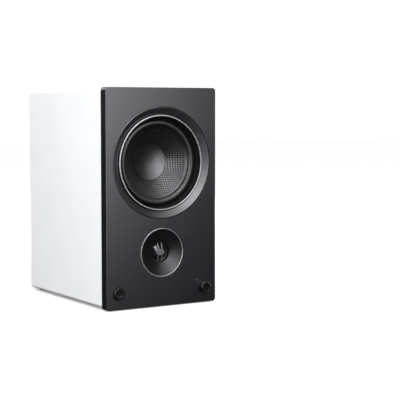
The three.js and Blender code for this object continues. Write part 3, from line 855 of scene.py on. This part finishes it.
def amplifier_plate():
    low, high = box_mm("amplifier_plate")
    outline = rounded_rectangle(high[0] - low[0], high[2] - low[2], 4, 8)
    plate = slab(outline, eased(PLATE_FRONT, PLATE_BACK, 0.1, 0.5), PLATE)
    drills = []
    for node, radius in [("line_socket_left", 4.4), ("line_socket_right", 4.4), ("subwoofer_socket", 4.4),
                         ("speaker_post_red", 3.4), ("speaker_post_black", 3.4)]:
        drills.append(rod(radius, *DRILLED, middle(node), 32))
    for index in range(1, 5):
        drills.append(rod(1.9, *DRILLED, middle(f"amplifier_screw_{index}"), 24))
    drills.append(block(22.6, 14.6, *DRILLED, middle("power_inlet"), 0))
    drills.append(block(13.6, 19.6, *DRILLED, middle("power_switch_housing"), 0))
    stand_in("amplifier_plate", cut(plate, *drills))

    tip, seat = 242, FITTING_FRONT
    for index in range(1, 5):
        node = f"amplifier_screw_{index}"
        place = middle(node)
        profile = [
            (0, tip), (1.4, tip + 1.5), (1.4, seat), (3.3, seat, 0.1), (3.3, seat + 0.9, 0.5),
            (2.4, seat + 1.7, 0.6), (0, seat + 2),
        ]
        head = turned(soften(profile, 0.1, closed=False), place, 48)
        slots = [slab(rounded_rectangle(w, h, 0.1, 2), [(0, seat + 0.8), (0, seat + 3)], place)
                 for w, h in ((3.2, 0.7), (0.7, 3.2))]
        stand_in(node, cut(head, *slots))


def sockets():
    start, end = FITTING_FRONT, FITTING_FRONT + 8.4
    for node, slot in [("line_socket_left", "black_plastic"), ("line_socket_right", "red_plastic"),
                       ("subwoofer_socket", "black_plastic")]:
        place = middle(node)
        sleeve = [
            (3.15, FITTING_INNER_END), (4, FITTING_INNER_END), (4, start), (5.6, start, 0.1),
            (5.6, start + 1.4, 0.4), (4.1, start + 1.4, 0.2), (4.1, end, 0.25), (3.15, end, 0.25),
        ]
        stand_in(node, turned(soften(sleeve, 0.2), place, 64))
        insulator = [(1.6, start), (3.1, start), (3.1, end - 0.5), (1.6, end - 0.5)]
        piece(node + "_insulator", turned(soften(insulator, 0.2), place, 48), slot)


def knurl(angle):
    """The shallow grip flutes round a terminal's cap."""
    flutes, depth = 24, 0.022
    return 1 - depth * (1 + np.cos(flutes * angle))


def terminals():
    start = FITTING_FRONT
    for color in ("red", "black"):
        node = f"speaker_post_{color}"
        end = depths(node)[1]
        place = middle(node)
        post = [
            (0, FITTING_INNER_END), (2.6, FITTING_INNER_END), (2.6, start), (7, start, 0.3),
            (7, start + 3, 0.6), (2.8, start + 3, 0.3), (2.8, end, 0.3), (2, end, 0.3), (2, end - 11),
            (0, end - 11),
        ]
        stand_in(node, turned(soften(post, 0.1, closed=False), place, 64))
        low, high = start + 3.4, end - 0.8
        cap = [
            (3.2, low, 0.2), (6.5, low, 0.3), (6.6, low + 1.6, 0.2), (6.3, low + 2, 0.2),
            (6.3, low + 2.6, 0.2), (6.6, low + 3, 0.2), (6.6, high - 0.8, 0.3), (6, high, 0.4),
            (3.2, high, 0.4),
        ]
        stand_in(f"speaker_cap_{color}", turned(soften(cap, 0.2), place, 288, ripple=knurl), crisp=False)


def power_entry():
    place = middle("power_inlet")
    start = FITTING_FRONT
    flange = slab(rounded_rectangle(28, 20, 2), eased(start, start + 2, 0.1, 0.6), place)
    body = block(22, 14, FITTING_INNER_END, start + 1, place, 0.3)
    floor_depth = start - 11
    lip = [(0, floor_depth), (0, start + 1.6), (-0.5, start + 2.2), (-0.5, start + 4)]
    recess = slab(rounded_rectangle(15.6, 9, 4.5, 12), lip, place)
    pins = []
    for x in (-4.3, 4.3):
        profile = [(0, floor_depth - 1), (1.2, floor_depth - 1), (1.2, start - 1, 0.8), (0, start - 1)]
        pins.append(turned(soften(profile, 0.1, closed=False), (place[0] + x, place[1]), 32))
    stand_in("power_inlet", cut(join(flange, body), recess))
    for side, pin in zip(("left", "right"), pins):
        piece(f"power_inlet_pin_{side}", pin, "tinned_metal")

    place = middle("power_switch_housing")
    flange = slab(rounded_rectangle(15.4, 21.4, 1.5), eased(start, start + 1.6, 0.1, 0.5), place)
    body = block(13, 19, start - 14, start + 1, place, 0.3)
    well = slab(rounded_rectangle(10.8, 16.9, 0.4, 3), [(0, start - 10), (0, start + 3)], place)
    stand_in("power_switch_housing", cut(join(flange, body), well))
    rocker(place)


def rocker(place):
    """A see-saw rocker at rest, tilted with its upper end in."""
    tilt = math.radians(7)
    side = [(1.6, 0, 3), (2.6, 7.8), (-1.5, 7.8), (-5, 4), (-5, -4), (-1.5, -7.8), (2.6, -7.8)]
    turn = np.array([[math.cos(tilt), math.sin(tilt)], [-math.sin(tilt), math.cos(tilt)]])
    ring = np.array(soften(side, 0.5, 5)) @ turn + (FITTING_FRONT, 0)
    mesh = slab(shrinking(ring), eased(-5, 5, 0.5, 0.5), place, along="X")
    stand_in("power_rocker", mesh)


def reflex_port():
    front, back = depths("reflex_port")
    flange = back - 3
    flare = [(r, d, 0) for r, d in arc((29, flange - 4), 7, 180, 90, 20)]
    profile = [(22, front, 0.6), *flare, (31.6, flange + 3, 0.5), (33, flange + 2.2, 0.8), (33, flange, 0.2),
               (24.5, flange), (24.5, front, 0.6)]
    stand_in("reflex_port", turned(soften(profile, 0.3), PORT, 160))


# ---------------------------------------------------------------- inside


def wadding():
    """Loose polyester pads, crowned and uneven, inside the boxes that their solids hold."""
    random = np.random.default_rng(5)
    for node in ("wadding_left", "wadding_right", "wadding_top"):
        low, high = box_mm(node)
        centre, half = (low + high) / 2, (high - low) / 2
        work = bmesh.new()
        bmesh.ops.create_cube(work, size=2)
        bmesh.ops.subdivide_edges(work, edges=work.edges, cuts=23, use_grid_fill=True)
        phases = random.uniform(0, 2 * math.pi, (6, 3))
        thin = int(np.argmin(half))
        for vertex in work.verts:
            p = np.array(vertex.co)
            rounded = p * (1 - 0.1 * (np.delete(p, thin) ** 2).sum() * (np.arange(3) == thin))
            edge = 1 - 0.03 * (np.sort(np.abs(p))[-2] ** 6)
            wobble = sum(math.sin(7 * p[i % 3] + 5 * p[(i + 1) % 3] + phases[i, 0]) for i in range(6)) / 6
            scale = np.where(np.arange(3) == thin, 0.93 + 0.05 * wobble, 0.985)
            vertex.co = Vector((centre + rounded * edge * half * scale) * MM)
        mesh = bpy.data.meshes.new("mesh")
        work.to_mesh(mesh)
        work.free()
        obj = stand_in(node, tidied(mesh, 60), crisp=False)


def carried_over():
    """The CAD nodes that stay get their finish."""
    for name, obj in frame["nodes"].items():
        finish = FINISHES[SLOT_OF[name]].material
        for slot in obj.material_slots:
            slot.material = finish


# ---------------------------------------------------------------- stage, light and camera


def stage():
    """A pale floor with a painted shadow: greyer, and glowing less, round the speaker, so that a soft shadow
    shows.
    """
    bpy.ops.mesh.primitive_plane_add(size=14, location=(0, 0, -0.0001))
    floor = bpy.context.object
    floor.name = "floor"
    # painted shadow: the floor's colour and glow fall from far to near within reach of the speaker
    painted_shadow_color, far = (0.6, 0.6, 0.605), (0.86, 0.86, 0.865)
    painted_shadow_glow, far_glow = 0.25, 0.6
    reach = (0.25, 1.2)           # metres from the middle of the speaker's footprint
    ground = Finish("studio_floor", far, 0.7, Specular_IOR_Level=0.2, Emission_Color=(1, 1, 1, 1))
    distance = ground.node("ShaderNodeVectorMath", {0: ground.place}, operation="LENGTH").outputs["Value"]
    ground.color(distance, painted_shadow_color, far, at=reach)
    glow = ground.spread(distance, painted_shadow_glow, far_glow, at=reach)
    ground.tree.links.new(glow, ground.shader.inputs["Emission Strength"])
    floor.data.materials.append(ground.material)
    floor.visible_glossy = False
    floor.visible_diffuse = False

    world = bpy.data.worlds.new("studio")
    bpy.context.scene.world = world
    world.use_nodes = True
    nodes, links = world.node_tree.nodes, world.node_tree.links
    backdrop, fill = nodes["Background"], nodes.new("ShaderNodeBackground")
    backdrop.inputs["Strength"].default_value = 1.05
    backdrop.inputs["Color"].default_value = (1, 1, 1, 1)
    fill.inputs["Strength"].default_value = 0.025
    fill.inputs["Color"].default_value = (0.97, 0.98, 1, 1)
    seen, mix = nodes.new("ShaderNodeLightPath"), nodes.new("ShaderNodeMixShader")
    links.new(seen.outputs["Is Camera Ray"], mix.inputs["Fac"])
    links.new(fill.outputs[0], mix.inputs[1])
    links.new(backdrop.outputs[0], mix.inputs[2])
    links.new(mix.outputs[0], nodes["World Output"].inputs["Surface"])
    bpy.context.scene.view_settings.view_transform = "Standard"


def soft_box(name, azimuth, elevation, distance, size, power, tilt=0):
    """An area light at an azimuth (0 is in front, 90 to the right) and elevation, aimed at the baffle."""
    aim = Vector((0, FACE_Y * MM, 0.15))
    lamp = bpy.data.lights.new(name, "AREA")
    lamp.shape = "RECTANGLE"
    lamp.size, lamp.size_y = size
    lamp.energy = power
    lamp.color = (0.965, 0.975, 1.0)
    obj = bpy.data.objects.new(name, lamp)
    bpy.context.scene.collection.objects.link(obj)
    a, e = math.radians(azimuth), math.radians(elevation)
    out = Vector((math.sin(a) * math.cos(e), -math.cos(a) * math.cos(e), math.sin(e)))
    obj.location = aim + out * distance
    facing = (-out).to_track_quat("-Z", "Y") @ Quaternion((0, 0, 1), math.radians(tilt))
    obj.rotation_euler = facing.to_euler()


def lights():
    soft_box("key", 5, 18, 0.8, (0.29, 0.9), 3.4, tilt=7)
    soft_box("front_panel", 9, 22, 0.8, (0.72, 0.57), 2.65)
    soft_box("upper_left", -40, 50, 1.3, (0.9, 0.8), 9.5)
    soft_box("top_front", 5, 72, 0.95, (0.7, 0.5), 4.5)
    soft_box("left_side", -62, 12, 1.6, (0.9, 1.2), 26)
    soft_box("right_side", 100, 8, 1.8, (1.0, 1.4), 17)
    soft_box("back_left", -150, 32, 1.8, (1.2, 1.0), 10)
    soft_box("back_right", 160, 8, 1.8, (1.2, 1.0), 12)
    sky = bpy.data.lights.new("overhead", "SUN")
    sky.energy = 1.4
    sky.angle = math.radians(100)
    obj = bpy.data.objects.new("overhead", sky)
    bpy.context.scene.collection.objects.link(obj)


def camera():
    yaw, pitch = math.radians(32.5), math.radians(4.38)
    data = bpy.data.cameras.new("camera")
    data.sensor_width = 36
    data.lens = 107.5
    obj = bpy.data.objects.new("camera", data)
    bpy.context.scene.collection.objects.link(obj)
    obj.location = Vector((-844, FACE_Y - 1422, BAFFLE_LOW[2] + 275)) * MM
    forward = Vector((math.sin(yaw) * math.cos(pitch), math.cos(yaw) * math.cos(pitch), -math.sin(pitch)))
    obj.rotation_euler = forward.to_track_quat("-Z", "Y").to_euler()
    bpy.context.scene.camera = obj


cabinet()
feet()
baffle()
woofer_trim()
surround()
cone()
dust_cap()
spider()
tweeter()
controls()
amplifier_plate()
sockets()
terminals()
power_entry()
reflex_port()
wadding()
carried_over()
stage()
lights()
camera()
